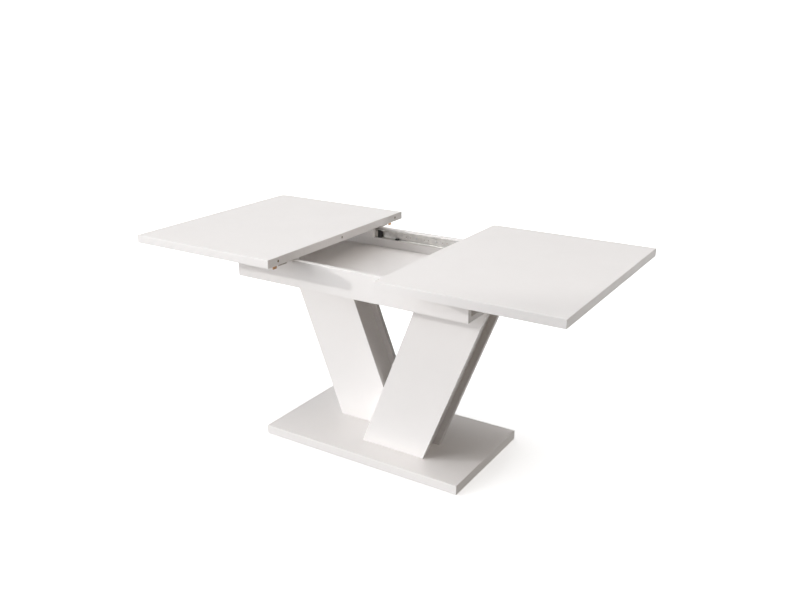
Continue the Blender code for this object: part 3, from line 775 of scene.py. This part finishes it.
# ---------------------------------------------------------------- studio
def lamp(name, azimuth, elevation, spread, strength, colour=(1.0, 1.0, 1.0)):
    """A distant soft lamp that stands at the given azimuth (0 is +X) and elevation."""
    light = bpy.data.lights.new(name, "SUN")
    light.energy = strength
    light.angle = math.radians(spread)
    light.color = colour
    thing = bpy.data.objects.new(name, light)
    around, up = math.radians(azimuth), math.radians(elevation)
    towards = Vector((math.cos(around) * math.cos(up), math.sin(around) * math.cos(up), math.sin(up)))
    thing.rotation_euler = towards.to_track_quat("Z", "Y").to_euler()
    bpy.context.scene.collection.objects.link(thing)
    return thing


def backdrop(name, profile, glow, reflected):
    """A surface of revolution around the table, from its profile of radius and height."""
    shape = bmesh.new()
    rings = [[shape.verts.new((r * c, r * s, z)) for c, s in circle(96)] for r, z in profile]
    if len(rings) == 1:
        shape.faces.new(rings[0])
    join_rings(shape, rings)
    mesh = bpy.data.meshes.new(name)
    shape.to_mesh(mesh)
    shape.free()
    thing = bpy.data.objects.new(name, mesh)
    bpy.context.scene.collection.objects.link(thing)
    nodes = Nodes(f"{name}_paint")
    nodes.set(base_color=(0.90, 0.90, 0.90, 1.0), roughness=0.9, emission_color=(1.0, 1.0, 1.0, 1.0),
              emission_strength=glow)
    mesh.materials.append(nodes.material)
    # The lamp floor_bounce stands in for the backdrop's own bounce.
    thing.visible_diffuse = False
    thing.visible_glossy = reflected
    thing.visible_shadow = False


def flag(towards):
    """A black scrim beside the key light, thin at its edges, that shades the table's near right corner."""
    side = Vector((0, 0, 1)).cross(towards).normalized()
    up = towards.cross(side).normalized()
    near, low, fade, distance = 0.48, 0.27, 0.16, 3.1
    mesh = bpy.data.meshes.new("studio_flag")
    mesh.from_pydata([(a, b, 0) for a, b in rectangle(near, 1.3, low, 1.25)], [], [(0, 1, 2, 3)])
    panel = bpy.data.objects.new("studio_flag", mesh)
    facing = Matrix((side, up, towards)).transposed().to_4x4()
    panel.matrix_world = Matrix.Translation(towards * distance) @ facing
    bpy.context.scene.collection.objects.link(panel)
    nodes = Nodes("studio_flag_cloth")
    nodes.set(base_color=(0.02, 0.02, 0.02, 1.0), roughness=1.0)
    split = nodes.tree.nodes.new("ShaderNodeSeparateXYZ")
    nodes.link(nodes.place, split.inputs["Vector"])
    weave = nodes.tree.nodes.new("ShaderNodeMath")
    weave.operation = "MULTIPLY"
    nodes.link(nodes.spread(split.outputs["X"], 0.0, 1.0, near, near + fade), weave.inputs[0])
    nodes.link(nodes.spread(split.outputs["Y"], 0.0, 1.0, low, low + fade), weave.inputs[1])
    nodes.link(weave.outputs[0], nodes.shader.inputs["Alpha"])
    mesh.materials.append(nodes.material)
    panel.visible_camera = False
    panel.visible_glossy = False
    panel.visible_diffuse = False


# Name, azimuth, elevation, spread (degrees), strength and colour of each lamp that fills.
FILLS = (("fill_top", 0, 90, 60, 0.96, (1.0, 1.0, 1.0)),
         ("fill_right", 0, 45, 50, 0.95, (1.0, 0.96, 0.92)),
         ("fill_left", 180, 45, 50, 1.10, (0.94, 0.96, 1.0)),
         ("fill_front_left", 225, 45, 50, 0.36, (1.0, 1.0, 1.0)),
         ("fill_back_left", 135, 45, 50, 0.12, (1.0, 1.0, 1.0)),
         ("low_left", 180, 10, 40, 0.50, (0.75, 0.92, 1.0)),
         ("low_front_left", 225, 10, 40, 2.35, (0.95, 0.97, 1.0)),
         ("low_front", 270, 10, 40, 0.18, (1.0, 1.0, 1.0)),
         ("low_back_left", 135, 10, 40, 0.09, (1.0, 1.0, 1.0)),
         ("floor_bounce", 0, -90, 120, 0.85, (1.0, 0.88, 0.76)))


def backdrops():
    """A pale floor disc, and a wall round it that curves up from its edge."""
    edge, bend, top, steps = 11.0, 3.0, 9.0, 8
    backdrop("studio_floor", [(edge, 0.0)], 0.5, True)
    arc = [math.pi / 2 * i / steps for i in range(steps + 1)]
    wall = [(edge + bend * math.sin(t), bend * (1 - math.cos(t))) for t in arc]
    backdrop("studio_wall", wall + [(edge + bend, top)], 1.0, False)


def studio():
    """Floor, wall, lamps and a dim world; the key lights the table only, the table alone blocks fills."""
    table = bpy.data.collections.new("table")
    for thing in bpy.context.scene.objects:
        if thing.type == "MESH":
            table.objects.link(thing)
    backdrops()
    lamp("key", 209.4, 14.8, 1.2, 1.25).light_linking.receiver_collection = table
    flag(Vector((-0.842, -0.475, 0.255)).normalized())
    for fill in [lamp(*row) for row in FILLS]:
        fill.light_linking.blocker_collection = table

    world = bpy.data.worlds.new("studio_world")
    bpy.context.scene.world = world
    world.use_nodes = True
    background = world.node_tree.nodes["Background"]
    background.inputs["Color"].default_value = (1.0, 1.0, 1.0, 1.0)
    background.inputs["Strength"].default_value = 0.02
    bpy.context.scene.view_settings.view_transform = "Standard"


def camera():
    """The camera stands front right of the table and looks down at it."""
    down, around = math.radians(19.2006), math.radians(32.1026)
    data = bpy.data.cameras.new("camera")
    data.lens = 37.69
    data.sensor_width = 36.0
    eye = bpy.data.objects.new("camera", data)
    eye.location = (1.5059, -2.3323, 1.5038)
    eye.rotation_euler = (math.pi / 2 - down, 0.0, around)
    bpy.context.scene.collection.objects.link(eye)
    bpy.context.scene.camera = eye


camera()
make_boards()
drill_tops()
drill_aprons()
raw_blocks()
make_hardware()
make_balls()
screw_fixed_rails()
screw_halves()
screw_locks()
make_small_pieces()
studio()
